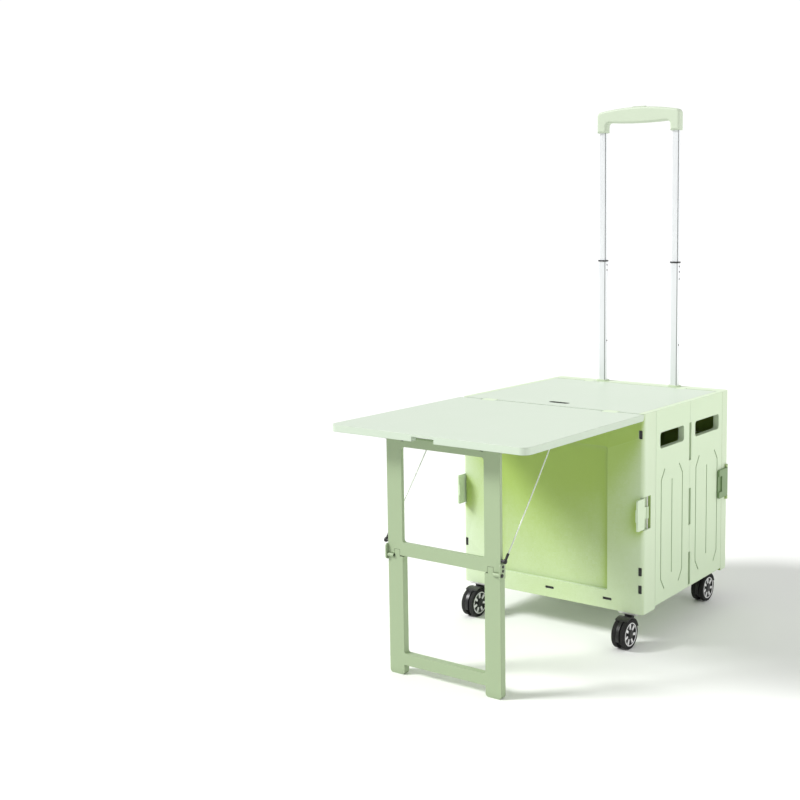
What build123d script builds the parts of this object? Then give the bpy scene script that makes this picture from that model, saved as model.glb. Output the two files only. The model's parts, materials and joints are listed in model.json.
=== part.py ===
"""Folding trolley crate with a fold-out table, a telescopic handle and four twin-wheel casters.

Modelled with the front panel's plane at y = 0, the ground at z = 0 and the table side towards -Y.
Each piece is shifted on export so that the origin is the bottom centre of the whole cart.
"""
from build123d import *
from math import atan2, degrees, hypot
import os

# Crate
CRATE_WIDTH = 406
CRATE_DEPTH = 358
CRATE_BOTTOM = 63
TABLE_HEIGHT = 433
WALL = 12
SEAM = 0.6
FRONT_RETURN = 45
REAR_RETURN = 30
CORNER_RADIUS = 8
SIDE_BOTTOM_GAP = 5
RIB = 3
SKIN = 4

# Front panel details
RECESS_WIDTH = 254
RECESS_DEPTH = 7
RECESS_MARGIN_LOW = 35
RECESS_MARGIN_HIGH = 54
EDGE_SLOT_WIDTH = 7
EDGE_SLOT_HEIGHT = 16
BASE_SLOT_WIDTH = 19
BASE_SLOT_HEIGHT = 5
DETAIL_DEPTH = 4
INSERT_FACE = 1.5

# Side walls
WINDOW_HEIGHT = 30
WINDOW_TOP_MARGIN = 43
WINDOW_FRONT = (16, 26)
WINDOW_REAR = (21, 16)
GROOVE_WIDTH = 3.2
GROOVE_DEPTH = 2
GROOVE_SLOPE = (14, 20)
GROOVE_LINE_INSET = 24
MID_SEAM_OFFSET = 2.5
MID_PIN_RADIUS = 1.4
MID_BARREL = 3
MID_RECESS = 5
CORNER_BARREL = 4.5
CORNER_PIN_RADIUS = 1.6
KNUCKLE_GAP = 0.4
HINGE_ZONES = ((9, 74), (128, 200), (255, 328))

# Lid, floor and table flap
TOP_THICKNESS = 12
RUN_GAP = 0.5
FINGER_SLOT = (45, 15)
FINGER_SLOT_FROM_FRONT = 36
CUP_DEPTH = 20
CUP_WALL = 1.2
LID_PIN_RADIUS = 2
LID_LUG = (100, 120)
FLAP_LENGTH = 371
FLAP_WEB = 5
FLAP_RIM = 12
FLAP_CORNER = 15
FLAP_PIN_RADIUS = 2
FLAP_LUG = (120, 150)
LUG_DEPTH = 8
FLAP_NOTCH = (46, 8)
FLOOR_THICKNESS = 8
FLOOR_SIDE_GAP = 11
FLOOR_PIN_RADIUS = 1.5
FLOOR_LUGS = ((30, 45), (125, 140))
RUN_CLEARANCE = 0.06

# Folding leg
LEG_WIDTH = 236
LEG_BAR = 32
LEG_FROM_EDGE = 48.4
LEG_UPPER_THICKNESS = 6
LEG_LOWER_THICKNESS = 12
LEG_HINGE_DROP = 20
LEG_TOP_BAR = 18
LEG_MID_BAR = 23
LEG_LOW_BAR = (18, 38)
KNEE_HEIGHT = 208.5
KNEE_BARREL = 3.5
LEG_PIN_RADIUS = 1.5
KNEE_PIN_RADIUS = 2
BRACKET_THICKNESS = 2.5
TONGUE_INSET = (25.5, 14.5)
TONGUE_RISE = 11

# Stay cables
STAY_SIDE_GAP = 7
STAY_DIAMETER = 3
STAY_ABOVE_KNEE = 23.5
STAY_REACH = 147.6
STAY_ANCHOR_DROP = 17
STAY_SLEEVE = 10
STAY_SWING_GAP = 18

# Telescopic handle
TUBE_SPACING = 172
TUBE_FROM_REAR = 15
INNER_TUBE = (16, 8.5)
TUBE_WALL = 0.9
OUTER_TUBE_WALL = 1.5
SLIDE_GAP = 0.35
OUTER_TUBE_FROM_BOTTOM = 12
MIDDLE_TUBE_RISE = 259
MIDDLE_TUBE_LENGTH = 362
INNER_TUBE_OVERLAP = 52
STUDS = {1: (10, 21, 36, 172), -1: (10, 21, 172)}
STUD_RADIUS = 1.8
STUD_PROUD = 0.2
COLLAR_HEIGHT = 3
COLLAR_WALL = 1.4
BUSH_HEIGHT = 3
GRIP_RISE = 525
GRIP_HEIGHT = 51
GRIP_ARCH = 9
GRIP_SOCKET_DROP = 21
GRIP_BELLY = 3
GRIP_DEPTH = 20
GRIP_SOCKET = 22
GRIP_ROUND = 5
BUTTON = (32, 9)
BUTTON_RISE = 1.5
BUTTON_BODY = 9
SPRING_HEIGHT = 10

# Catches and latches
CATCH_FROM_BOTTOM = 157
CATCH_HEIGHT = 61
CATCH_POCKET_END = 26
CATCH_REACH = 20
CATCH_THICKNESS = 3.4
CATCH_TAB_END = 6
CATCH_ARM_HEIGHT = 22
CATCH_BARREL = 2.6
CATCH_NIB = 1.5
LATCH_FROM_BOTTOM = 154
LATCH_HEIGHT = 58
LATCH_FRONT_OVERLAP = 21
LATCH_THICKNESS = 5
LATCH_WELL_DEPTH = 2.8
SMALL_PIN_RADIUS = 1.2

# Casters
CASTER_FROM_SIDE = 33
CASTER_FRONT_Y = 8
CASTER_FROM_REAR = 26
CASTER_TRAIL = 18
WHEEL_RADIUS = 27
TYRE_THICKNESS = 5
WHEEL_WIDTH = 9.8
WHEEL_PAIR_GAP = 8.4
AXLE_RADIUS = 3
PLATE_THICKNESS = 3
PLATE_SIZE = (40, 28)
KINGPIN_RADIUS = 4
HOUSING_WEB = 7
FENDER_GAP = 1.3
FENDER_WALL = 2
SCREW_RADIUS = 1.5

# Derived places
HALF = CRATE_WIDTH / 2
INSIDE = HALF - WALL
PANEL_UNDERSIDE = TABLE_HEIGHT - TOP_THICKNESS
PANEL_MIDDLE = TABLE_HEIGHT - TOP_THICKNESS / 2
ROUND = TOP_THICKNESS / 2
REAR_SEAM = CRATE_DEPTH - REAR_RETURN
MID_SEAM = (FRONT_RETURN + REAR_SEAM) / 2 - MID_SEAM_OFFSET
TUBE_Y = CRATE_DEPTH - TUBE_FROM_REAR
TUBE_X = TUBE_SPACING / 2
SHELF_FRONT = REAR_SEAM + 1.5
LID_HINGE_Y = SHELF_FRONT - ROUND - RUN_GAP
FLAP_HINGE_Y = -ROUND - RUN_GAP
FLOOR_BOTTOM = CRATE_BOTTOM + 7.5
FLOOR_HINGE_Z = FLOOR_BOTTOM + FLOOR_THICKNESS / 2
FLOOR_HINGE_Y = REAR_SEAM - 2
FLOOR_HALF = INSIDE - FLOOR_SIDE_GAP
LEG_FRONT_Y = -FLAP_LENGTH + LEG_FROM_EDGE
LEG_HINGE_Y = LEG_FRONT_Y + LEG_UPPER_THICKNESS / 2
LEG_HINGE_Z = TABLE_HEIGHT - LEG_HINGE_DROP
LEG_HALF = LEG_WIDTH / 2
LEG_INNER = LEG_HALF - LEG_BAR
KNEE_Y = LEG_FRONT_Y - 0.4
TONGUE = tuple(LEG_HALF - inset for inset in TONGUE_INSET)
STAY_X = LEG_HALF + STAY_SIDE_GAP
STAY_LOW_HEIGHT = KNEE_HEIGHT + STAY_ABOVE_KNEE
STAY_ANCHOR_Y = LEG_HINGE_Y + STAY_REACH
STAY_ANCHOR_HEIGHT = TABLE_HEIGHT - STAY_ANCHOR_DROP
MIDDLE_TUBE = tuple(s + 2 * (SLIDE_GAP + TUBE_WALL) for s in INNER_TUBE)
OUTER_BORE = tuple(s + 2 * SLIDE_GAP for s in MIDDLE_TUBE)
OUTER_TUBE = tuple(s + 2 * OUTER_TUBE_WALL for s in OUTER_BORE)
OUTER_TUBE_BOTTOM = CRATE_BOTTOM + OUTER_TUBE_FROM_BOTTOM
MIDDLE_TUBE_TOP = TABLE_HEIGHT + MIDDLE_TUBE_RISE
MIDDLE_TUBE_BOTTOM = MIDDLE_TUBE_TOP - MIDDLE_TUBE_LENGTH
INNER_TUBE_BOTTOM = MIDDLE_TUBE_TOP - INNER_TUBE_OVERLAP
GRIP_BOTTOM = TABLE_HEIGHT + GRIP_RISE
GRIP_TOP = GRIP_BOTTOM + GRIP_HEIGHT
GRIP_SIDE_TOP = GRIP_TOP - GRIP_ARCH
GRIP_UNDERSIDE = GRIP_BOTTOM + GRIP_SOCKET_DROP
GRIP_WIDTH = TUBE_SPACING + GRIP_SOCKET
CATCH_BOTTOM = CRATE_BOTTOM + CATCH_FROM_BOTTOM
CATCH_TOP = CATCH_BOTTOM + CATCH_HEIGHT
LATCH_BOTTOM = CRATE_BOTTOM + LATCH_FROM_BOTTOM
LATCH_TOP = LATCH_BOTTOM + LATCH_HEIGHT
CATCH_PIN = (HALF - 2.8, CATCH_POCKET_END - 8)
LATCH_X = HALF + 0.4
LATCH_PIN = (LATCH_X + LATCH_THICKNESS / 2, REAR_SEAM + 18)
WHEEL_INNER_X = WHEEL_PAIR_GAP / 2
CASTER_X = HALF - CASTER_FROM_SIDE
CASTER_REAR_Y = CRATE_DEPTH - CASTER_FROM_REAR
Y_MID = (CRATE_DEPTH - FLAP_LENGTH) / 2
CASTERS = {
    "front_right": (CASTER_X, CASTER_FRONT_Y),
    "front_left": (-CASTER_X, CASTER_FRONT_Y),
    "rear_right": (CASTER_X, CASTER_REAR_Y),
    "rear_left": (-CASTER_X, CASTER_REAR_Y),
}


def block(x0, x1, y0, y1, z0, z1):
    return Pos((x0 + x1) / 2, (y0 + y1) / 2, (z0 + z1) / 2) * Box(abs(x1 - x0), abs(y1 - y0), abs(z1 - z0))


def rod_x(x0, x1, y, z, radius):
    return Pos((x0 + x1) / 2, y, z) * Rot(0, 90, 0) * Cylinder(radius, abs(x1 - x0))


def rod_z(z0, z1, x, y, radius):
    return Pos(x, y, (z0 + z1) / 2) * Cylinder(radius, abs(z1 - z0))


def mirrored(shape):
    return mirror(shape, about=Plane.YZ)


def group(*shapes):
    return Compound(children=[solid for shape in shapes for solid in shape.solids()])


def pair(shape):
    return group(shape, mirrored(shape))


def along_x(sketch, x0, x1):
    """A sketch drawn in (y, z), extruded from x0 to x1."""
    return extrude(Plane.YZ.offset(x0) * sketch, amount=x1 - x0)


def along_y(sketch, y0, y1):
    """A sketch drawn in (x, z), extruded from y0 to y1."""
    plane = Plane(origin=(0, y0, 0), x_dir=(1, 0, 0), z_dir=(0, -1, 0))
    return extrude(plane * sketch, amount=y0 - y1)


def rounded_window(y0, y1, z0, z1, x0, x1, radius):
    return along_x(Pos((y0 + y1) / 2, (z0 + z1) / 2) * RectangleRounded(y1 - y0, z1 - z0, radius), x0, x1)


def tube(size, wall, z0, z1, x, y):
    outer = RectangleRounded(size[0], size[1], min(size) * 0.35)
    inner = RectangleRounded(size[0] - 2 * wall, size[1] - 2 * wall, min(size) * 0.35 - wall)
    return extrude(Pos(x, y, z0) * (outer - inner), amount=z1 - z0)


def tube_core(size, z0, z1, x, y):
    return extrude(Pos(x, y, z0) * RectangleRounded(size[0], size[1], min(size) * 0.35), amount=z1 - z0)


def cells(low, high, count):
    """The spans left between ribs when a stretch is divided into equal cells."""
    step = (high - low + RIB) / count
    return [(low + n * step, low + (n + 1) * step - RIB) for n in range(count)]


def pockets_below(x0, x1, y0, y1, z0, z1, columns, rows):
    """Pockets between ribs, open downwards."""
    return [block(a, b, c, d, z0, z1) for a, b in cells(x0, x1, columns) for c, d in cells(y0, y1, rows)]


def u_plan(y_face, y_inner, y_end):
    """The plan of an end wall with its two returns, round at the outer corners."""
    outline = Polyline((-HALF, y_face), (HALF, y_face), (HALF, y_end), (INSIDE, y_end), (INSIDE, y_inner),
                       (-INSIDE, y_inner), (-INSIDE, y_end), (-HALF, y_end), close=True)
    face = make_face(outline)
    corners = [v for v in face.vertices() if abs(v.Y - y_face) < 0.01]
    return fillet(corners, CORNER_RADIUS)


# Hinges between the upright walls

def knuckle_spans(zone, own):
    """Thirds of a hinge zone: the outer two belong to one wall, the middle one to the other."""
    low, high = CRATE_BOTTOM + zone[0], CRATE_BOTTOM + zone[1]
    step = (high - low) / 3
    spans = [(low + n * step, low + (n + 1) * step) for n in range(3)]
    return [spans[0], spans[2]] if own == "outer" else [spans[1]]


def with_knuckles(wall, x, y, barrel, pin, own):
    """Adds a wall's own knuckles at a hinge line and clears its neighbour's."""
    other = "middle" if own == "outer" else "outer"
    for zone in HINGE_ZONES:
        for low, high in knuckle_spans(zone, other):
            wall -= rod_z(low - KNUCKLE_GAP / 2, high + KNUCKLE_GAP / 2, x, y, barrel + KNUCKLE_GAP)
        for low, high in knuckle_spans(zone, own):
            wall += rod_z(low + KNUCKLE_GAP / 2, high - KNUCKLE_GAP / 2, x, y, barrel)
        wall -= rod_z(CRATE_BOTTOM + zone[0], CRATE_BOTTOM + zone[1], x, y, pin)
    return wall


def mid_recess():
    """The recesses beside the middle seam that the mid hinges sit in."""
    return [block(MID_HINGE_X, HALF, MID_SEAM - MID_RECESS, MID_SEAM + MID_RECESS, CRATE_BOTTOM + low,
                  CRATE_BOTTOM + high) for low, high in HINGE_ZONES]


def hinge_pins(x, y, pin):
    return [rod_z(CRATE_BOTTOM + low, CRATE_BOTTOM + high, x, y, pin) for low, high in HINGE_ZONES]


CORNER_LINES = {"front": FRONT_RETURN + SEAM / 2, "rear": REAR_SEAM - SEAM / 2}
CORNER_HINGE_X = HALF - 8
MID_HINGE_X = HALF - MID_BARREL - 2


def corner_hinge_pins():
    pins = [p for y in CORNER_LINES.values() for p in hinge_pins(CORNER_HINGE_X, y, CORNER_PIN_RADIUS)]
    return pair(group(*pins))


def mid_hinge_pins():
    return pair(group(*hinge_pins(MID_HINGE_X, MID_SEAM, MID_PIN_RADIUS)))


# End walls

def plate_origin(place):
    """The centre of a caster's plate, kept inside the wall that it is screwed to."""
    x, y = place
    offset = PLATE_SIZE[1] / 2 - CASTER_FRONT_Y
    return x, y + offset if y < CRATE_DEPTH / 2 else y - 1


def screw_places(place):
    x, y = plate_origin(place)
    return [(x + side * (PLATE_SIZE[0] / 2 - 4), y + 5) for side in (-1, 1)]


def screw_holes(row):
    return [rod_z(CRATE_BOTTOM, CRATE_BOTTOM + 5, x, y, SCREW_RADIUS)
            for name, place in CASTERS.items() if name.startswith(row) for x, y in screw_places(place)]


def panel_slots(start, end):
    """The slots beside the corner posts and in the bottom rail, between two depths."""
    slots = []
    tall = RectangleRounded(EDGE_SLOT_WIDTH, EDGE_SLOT_HEIGHT, 1.5)
    wide = RectangleRounded(BASE_SLOT_WIDTH, BASE_SLOT_HEIGHT, 1.5)
    for middle in (CRATE_BOTTOM + 47, CRATE_BOTTOM + 80, TABLE_HEIGHT - 38):
        slots += [along_y(Pos(x, middle) * tall, start, end) for x in (HALF - 7.5, 7.5 - HALF)]
    for x in (-RECESS_WIDTH / 2, 0, RECESS_WIDTH / 2):
        slots.append(along_y(Pos(x, CRATE_BOTTOM + 19) * wide, start, end))
    return slots


def slot_inserts():
    """Black inserts at the bottom of the front panel's slots."""
    return group(*panel_slots(INSERT_FACE, DETAIL_DEPTH))


def front_recess():
    low, high = CRATE_BOTTOM + RECESS_MARGIN_LOW, PANEL_UNDERSIDE - RECESS_MARGIN_HIGH
    recess = Pos(0, (low + high) / 2) * RectangleRounded(RECESS_WIDTH, high - low, 5)
    return along_y(recess, 0, RECESS_DEPTH)


def flap_lug(x0, x1):
    """A hinge lug that rises from the front wall to the level of the top and holds the flap's pin."""
    arm = block(x0, x1, FLAP_HINGE_Y, LUG_DEPTH, PANEL_UNDERSIDE, TABLE_HEIGHT)
    lug = arm + rod_x(x0, x1, FLAP_HINGE_Y, PANEL_MIDDLE, ROUND)
    return lug - rod_x(x0, x1, FLAP_HINGE_Y, PANEL_MIDDLE, FLAP_PIN_RADIUS)


def catch_pocket():
    return block(HALF - 7, HALF, 0, CATCH_POCKET_END, CATCH_BOTTOM, CATCH_TOP)


def front_frame():
    plan = u_plan(0, WALL, FRONT_RETURN)
    wall = extrude(Pos(0, 0, CRATE_BOTTOM) * plan, amount=TABLE_HEIGHT - CRATE_BOTTOM)
    wall -= block(-INSIDE, INSIDE, 0, WALL, PANEL_UNDERSIDE, TABLE_HEIGHT)
    low, high = CRATE_BOTTOM + RECESS_MARGIN_LOW, PANEL_UNDERSIDE - RECESS_MARGIN_HIGH
    for x0, x1 in cells(RECESS_WIDTH / 2 + RIB, INSIDE - RIB, 2):
        for z0, z1 in cells(low, high, 4):
            cell = block(x0, x1, SKIN + 1, WALL, z0, z1)
            wall -= [cell, mirrored(cell)]
    wall -= [front_recess(), *panel_slots(0, DETAIL_DEPTH)]
    wall += block(-FLOOR_HALF, FLOOR_HALF, WALL, WALL + 8, CRATE_BOTTOM, FLOOR_BOTTOM - 0.3)
    foot = block(CASTER_X - PLATE_SIZE[0] / 2, INSIDE, WALL, PLATE_SIZE[1], CRATE_BOTTOM, FLOOR_BOTTOM - 0.3)
    wall += [foot, mirrored(foot)]
    for lug in (flap_lug(*FLAP_LUG), mirrored(flap_lug(*FLAP_LUG))):
        wall += lug
    pocket = catch_pocket() + rod_z(CATCH_BOTTOM - 6, CATCH_TOP + 6, *CATCH_PIN, SMALL_PIN_RADIUS)
    wall -= [pocket, mirrored(pocket)]
    wall -= screw_holes("front")
    for side in (1, -1):
        wall = with_knuckles(wall, side * CORNER_HINGE_X, CORNER_LINES["front"], CORNER_BARREL,
                             CORNER_PIN_RADIUS, "outer")
    return wall


def lid_lug(x0, x1):
    arm = block(x0, x1, LID_HINGE_Y, SHELF_FRONT, PANEL_UNDERSIDE, TABLE_HEIGHT)
    lug = arm + rod_x(x0, x1, LID_HINGE_Y, PANEL_MIDDLE, ROUND)
    return lug - rod_x(x0, x1, LID_HINGE_Y, PANEL_MIDDLE, LID_PIN_RADIUS)


def floor_lug(x0, x1):
    half = FLOOR_THICKNESS / 2
    arm = block(x0, x1, FLOOR_HINGE_Y, CRATE_DEPTH - WALL, FLOOR_BOTTOM, FLOOR_BOTTOM + FLOOR_THICKNESS)
    lug = arm + rod_x(x0, x1, FLOOR_HINGE_Y, FLOOR_HINGE_Z, half)
    return lug - rod_x(x0, x1, FLOOR_HINGE_Y, FLOOR_HINGE_Z, FLOOR_PIN_RADIUS)


def latch_lugs():
    """Two ears on the rear corner post, above and below the latch, with the hole for its pin."""
    x, y = LATCH_PIN
    ears = []
    for z0, z1 in ((LATCH_BOTTOM - 7, LATCH_BOTTOM - 0.5), (LATCH_TOP + 0.5, LATCH_TOP + 7)):
        ear = block(HALF - 1, x, y - 3, y + 3, z0, z1) + rod_z(z0, z1, x, y, 3)
        ears.append(ear - rod_z(z0, z1, x, y, SMALL_PIN_RADIUS))
    return ears


def rear_frame():
    plan = u_plan(CRATE_DEPTH, CRATE_DEPTH - WALL, REAR_SEAM)
    wall = extrude(Pos(0, 0, CRATE_BOTTOM) * plan, amount=TABLE_HEIGHT - CRATE_BOTTOM)
    inner_face = CRATE_DEPTH - WALL
    for x0, x1 in cells(-INSIDE + RIB, INSIDE - RIB, 6):
        for z0, z1 in cells(CRATE_BOTTOM + 40, PANEL_UNDERSIDE - RIB, 4):
            wall -= block(x0, x1, inner_face, inner_face + WALL - SKIN, z0, z1)
    wall += block(-INSIDE, INSIDE, SHELF_FRONT, inner_face, PANEL_UNDERSIDE, TABLE_HEIGHT)
    housing = block(TUBE_X - OUTER_TUBE[0] / 2 - 4, TUBE_X + OUTER_TUBE[0] / 2 + 4, REAR_SEAM + 4,
                    CRATE_DEPTH - SKIN / 2, CRATE_BOTTOM, PANEL_UNDERSIDE)
    foot = block(CASTER_X - PLATE_SIZE[0] / 2, INSIDE - 0.5, CASTER_REAR_Y - PLATE_SIZE[1] / 2, inner_face,
                 CRATE_BOTTOM, FLOOR_BOTTOM - 0.3)
    floor_lugs = [floor_lug(*span) for span in FLOOR_LUGS]
    for piece in (housing, foot, lid_lug(*LID_LUG), *floor_lugs, *latch_lugs()):
        wall += piece
        wall += mirrored(piece)
    for x in (TUBE_X, -TUBE_X):
        wall -= tube_core(OUTER_TUBE, OUTER_TUBE_BOTTOM, TABLE_HEIGHT, x, TUBE_Y)
    wall -= screw_holes("rear")
    for side in (1, -1):
        wall = with_knuckles(wall, side * CORNER_HINGE_X, CORNER_LINES["rear"], CORNER_BARREL,
                             CORNER_PIN_RADIUS, "outer")
    return wall


# Side walls

def groove_lines(y0, y1):
    """The shallow lines on a side wall: an elongated octagon, open at both ends, and its middle line."""
    low, high = CRATE_BOTTOM + 29, CRATE_BOTTOM + 257
    slope_y, slope_z = GROOVE_SLOPE
    lines = []
    for end, turned in ((y0, y0 + slope_y), (y1, y1 - slope_y)):
        lines.append([(turned, low), (end, low + slope_z), (end, high - slope_z), (turned, high)])
    lines.append([((y0 + y1) / 2, low + GROOVE_LINE_INSET), ((y0 + y1) / 2, high - GROOVE_LINE_INSET)])
    return [along_x(trace(Polyline(*points), GROOVE_WIDTH), HALF - GROOVE_DEPTH, HALF) for points in lines]


def side_wall(y0, y1, window, corner_y, mid_own):
    """A right-hand half of a bi-fold side wall."""
    bottom = CRATE_BOTTOM + SIDE_BOTTOM_GAP
    wall = block(INSIDE, HALF, y0, y1, bottom, TABLE_HEIGHT)
    top = TABLE_HEIGHT - WINDOW_TOP_MARGIN
    wall -= rounded_window(y0 + window[0], y1 - window[1], top - WINDOW_HEIGHT, top, INSIDE, HALF, 6)
    for a, b in cells(y0 + 18, y1 - 18, 2):
        for c, d in cells(bottom + 12, top - WINDOW_HEIGHT - 8, 4):
            wall -= block(INSIDE, HALF - SKIN, a, b, c, d)
    wall -= groove_lines(y0 + window[0] + 5, y1 - window[1] - 5)
    wall = with_knuckles(wall, CORNER_HINGE_X, corner_y, CORNER_BARREL, CORNER_PIN_RADIUS, "middle")
    wall -= mid_recess()
    return with_knuckles(wall, MID_HINGE_X, MID_SEAM, MID_BARREL, MID_PIN_RADIUS, mid_own)


def side_front():
    return side_wall(FRONT_RETURN + SEAM, MID_SEAM - SEAM / 2, WINDOW_FRONT, CORNER_LINES["front"], "outer")


def latch_hook_span():
    """Where the latch's hook enters the rear half of the side wall, in y."""
    return REAR_SEAM - LATCH_FRONT_OVERLAP + 3, REAR_SEAM - LATCH_FRONT_OVERLAP + 9


def side_rear():
    wall = side_wall(MID_SEAM + SEAM / 2, REAR_SEAM - SEAM, WINDOW_REAR, CORNER_LINES["rear"], "middle")
    a, b = latch_hook_span()
    middle = (LATCH_BOTTOM + LATCH_TOP) / 2
    return wall - block(HALF - 3.5, HALF, a - 1.5, b + 1.5, middle - 12.5, middle + 12.5)


# Lid and floor

def top_board(y0, y1, half_width, web, margin, columns, rows):
    """A flat board with its ribs and rim underneath."""
    board = block(-half_width, half_width, y0, y1, PANEL_UNDERSIDE, TABLE_HEIGHT)
    hollow = pockets_below(-half_width + margin, half_width - margin, y0 + margin, y1 - margin,
                           PANEL_UNDERSIDE, TABLE_HEIGHT - web, columns, rows)
    return board - hollow


def lid_panel():
    half_width = INSIDE - RUN_GAP
    lid = top_board(RUN_GAP, LID_HINGE_Y, half_width, SKIN, 14, 6, 5)
    lid += rod_x(-half_width, half_width, LID_HINGE_Y, PANEL_MIDDLE, ROUND)
    slot = Pos(0, FINGER_SLOT_FROM_FRONT, PANEL_UNDERSIDE) * SlotOverall(*FINGER_SLOT)
    lid -= extrude(slot, amount=TOP_THICKNESS)
    lug_gap = block(LID_LUG[0] - RUN_GAP, LID_LUG[1] + RUN_GAP, LID_HINGE_Y - ROUND - RUN_GAP, SHELF_FRONT,
                    PANEL_UNDERSIDE, TABLE_HEIGHT)
    tab_gap = block(FLAP_LUG[0] - RUN_GAP, FLAP_LUG[1] + RUN_GAP, 0, LUG_DEPTH + RUN_GAP,
                    PANEL_UNDERSIDE, TABLE_HEIGHT)
    bore = rod_x(LID_LUG[0] - 15, LID_LUG[1] + 15, LID_HINGE_Y, PANEL_MIDDLE, LID_PIN_RADIUS + RUN_CLEARANCE)
    return lid - [lug_gap, mirrored(lug_gap), tab_gap, mirrored(tab_gap), bore, mirrored(bore)]


def lid_finger_cup():
    """A dark cup in the lid's finger slot."""
    length, width = FINGER_SLOT
    place = Pos(0, FINGER_SLOT_FROM_FRONT, TABLE_HEIGHT - CUP_DEPTH)
    cup = extrude(place * SlotOverall(length, width), amount=CUP_DEPTH - SEAM)
    hollow = extrude(place * SlotOverall(length - 2 * CUP_WALL, width - 2 * CUP_WALL), amount=CUP_DEPTH)
    return cup - Pos(0, 0, CUP_WALL) * hollow


def lid_hinge_pins():
    return pair(rod_x(LID_LUG[0] - 14, LID_LUG[1] + 14, LID_HINGE_Y, PANEL_MIDDLE, LID_PIN_RADIUS))


def floor_panel():
    half = FLOOR_THICKNESS / 2
    front = WALL + RUN_GAP + 1
    top = FLOOR_BOTTOM + FLOOR_THICKNESS
    board = block(-FLOOR_HALF, FLOOR_HALF, front, FLOOR_HINGE_Y, FLOOR_BOTTOM, top)
    board += rod_x(-FLOOR_HALF, FLOOR_HALF, FLOOR_HINGE_Y, FLOOR_HINGE_Z, half)
    board -= pockets_below(-FLOOR_HALF + 12, FLOOR_HALF - 12, front + 12, FLOOR_HINGE_Y - 12,
                           FLOOR_BOTTOM, top - RIB, 6, 5)
    for x0, x1 in FLOOR_LUGS:
        gap = block(x0 - RUN_GAP, x1 + RUN_GAP, FLOOR_HINGE_Y - half - RUN_GAP, FLOOR_HINGE_Y + half,
                    FLOOR_BOTTOM, top)
        bore = rod_x(x0 - 11, x1 + 11, FLOOR_HINGE_Y, FLOOR_HINGE_Z, FLOOR_PIN_RADIUS + RUN_CLEARANCE)
        board -= [gap, mirrored(gap), bore, mirrored(bore)]
    return board


def floor_hinge_pins():
    return group(*[pair(rod_x(x0 - 10, x1 + 10, FLOOR_HINGE_Y, FLOOR_HINGE_Z, FLOOR_PIN_RADIUS))
                   for x0, x1 in FLOOR_LUGS])


# Table flap

def table_flap():
    depth = FLAP_LENGTH + FLAP_HINGE_Y
    plan = Pos(0, FLAP_HINGE_Y - depth / 2, PANEL_UNDERSIDE) * Rectangle(CRATE_WIDTH, depth)
    plan = fillet([v for v in plan.vertices() if v.Y < -depth / 2], FLAP_CORNER)
    flap = extrude(plan, amount=TOP_THICKNESS)
    inner = HALF - FLAP_RIM
    flap -= pockets_below(-inner, inner, -FLAP_LENGTH + FLAP_RIM, FLAP_HINGE_Y - FLAP_RIM,
                          PANEL_UNDERSIDE, TABLE_HEIGHT - FLAP_WEB, 5, 5)
    flap += rod_x(-HALF, HALF, FLAP_HINGE_Y, PANEL_MIDDLE, ROUND)
    for pad in (leg_bracket_pad(), anchor_pad()):
        flap += [pad, mirrored(pad)]
    width, height = FLAP_NOTCH
    flap -= block(-width / 2, width / 2, -FLAP_LENGTH, -FLAP_LENGTH + FLAP_RIM,
                  PANEL_UNDERSIDE, PANEL_UNDERSIDE + height)
    flap -= [stay_end_relief(), mirrored(stay_end_relief())]
    gap = block(FLAP_LUG[0] - RUN_GAP, FLAP_LUG[1] + RUN_GAP, FLAP_HINGE_Y - ROUND - RUN_GAP, 0,
                PANEL_UNDERSIDE, TABLE_HEIGHT)
    bore_radius = FLAP_PIN_RADIUS + RUN_CLEARANCE
    bore = rod_x(FLAP_LUG[0] - 21, FLAP_LUG[1] + 21, FLAP_HINGE_Y, PANEL_MIDDLE, bore_radius)
    return flap - [gap, mirrored(gap), bore, mirrored(bore)]


def stay_end_relief():
    """Room under the flap for a stay's low end when the leg is folded up."""
    folded_y = LEG_HINGE_Y + LEG_HINGE_Z - STAY_LOW_HEIGHT
    return block(STAY_X - 3.5, STAY_X + 3.5, folded_y - STAY_SLEEVE - 8, folded_y + 6,
                 PANEL_UNDERSIDE, PANEL_UNDERSIDE + 4)


def flap_hinge_pins():
    return pair(rod_x(FLAP_LUG[0] - 20, FLAP_LUG[1] + 20, FLAP_HINGE_Y, PANEL_MIDDLE, FLAP_PIN_RADIUS))


def leg_bracket_pad():
    """The solid pad under the flap that a leg bracket is fixed to."""
    return block(LEG_INNER - 8, LEG_HALF + 8, LEG_HINGE_Y - 12, LEG_HINGE_Y + 12,
                 PANEL_UNDERSIDE, TABLE_HEIGHT - FLAP_WEB)


def leg_hinge_brackets():
    base = block(LEG_INNER - 5, LEG_HALF + 5, LEG_HINGE_Y - 8, LEG_HINGE_Y + 8,
                 PANEL_UNDERSIDE - 2, PANEL_UNDERSIDE)
    for x0, x1 in ((LEG_INNER - 5, LEG_INNER - 1.5), (LEG_HALF + 1.5, LEG_HALF + 5)):
        ear = block(x0, x1, LEG_HINGE_Y - 5, LEG_HINGE_Y + 5, LEG_HINGE_Z, PANEL_UNDERSIDE - 2)
        base += ear + rod_x(x0, x1, LEG_HINGE_Y, LEG_HINGE_Z, 5)
    return pair(base - rod_x(LEG_INNER - 5, LEG_HALF + 5, LEG_HINGE_Y, LEG_HINGE_Z, LEG_PIN_RADIUS))


def leg_hinge_pins():
    return pair(rod_x(LEG_INNER - 6, LEG_HALF + 6, LEG_HINGE_Y, LEG_HINGE_Z, LEG_PIN_RADIUS))


# Folding leg

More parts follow.
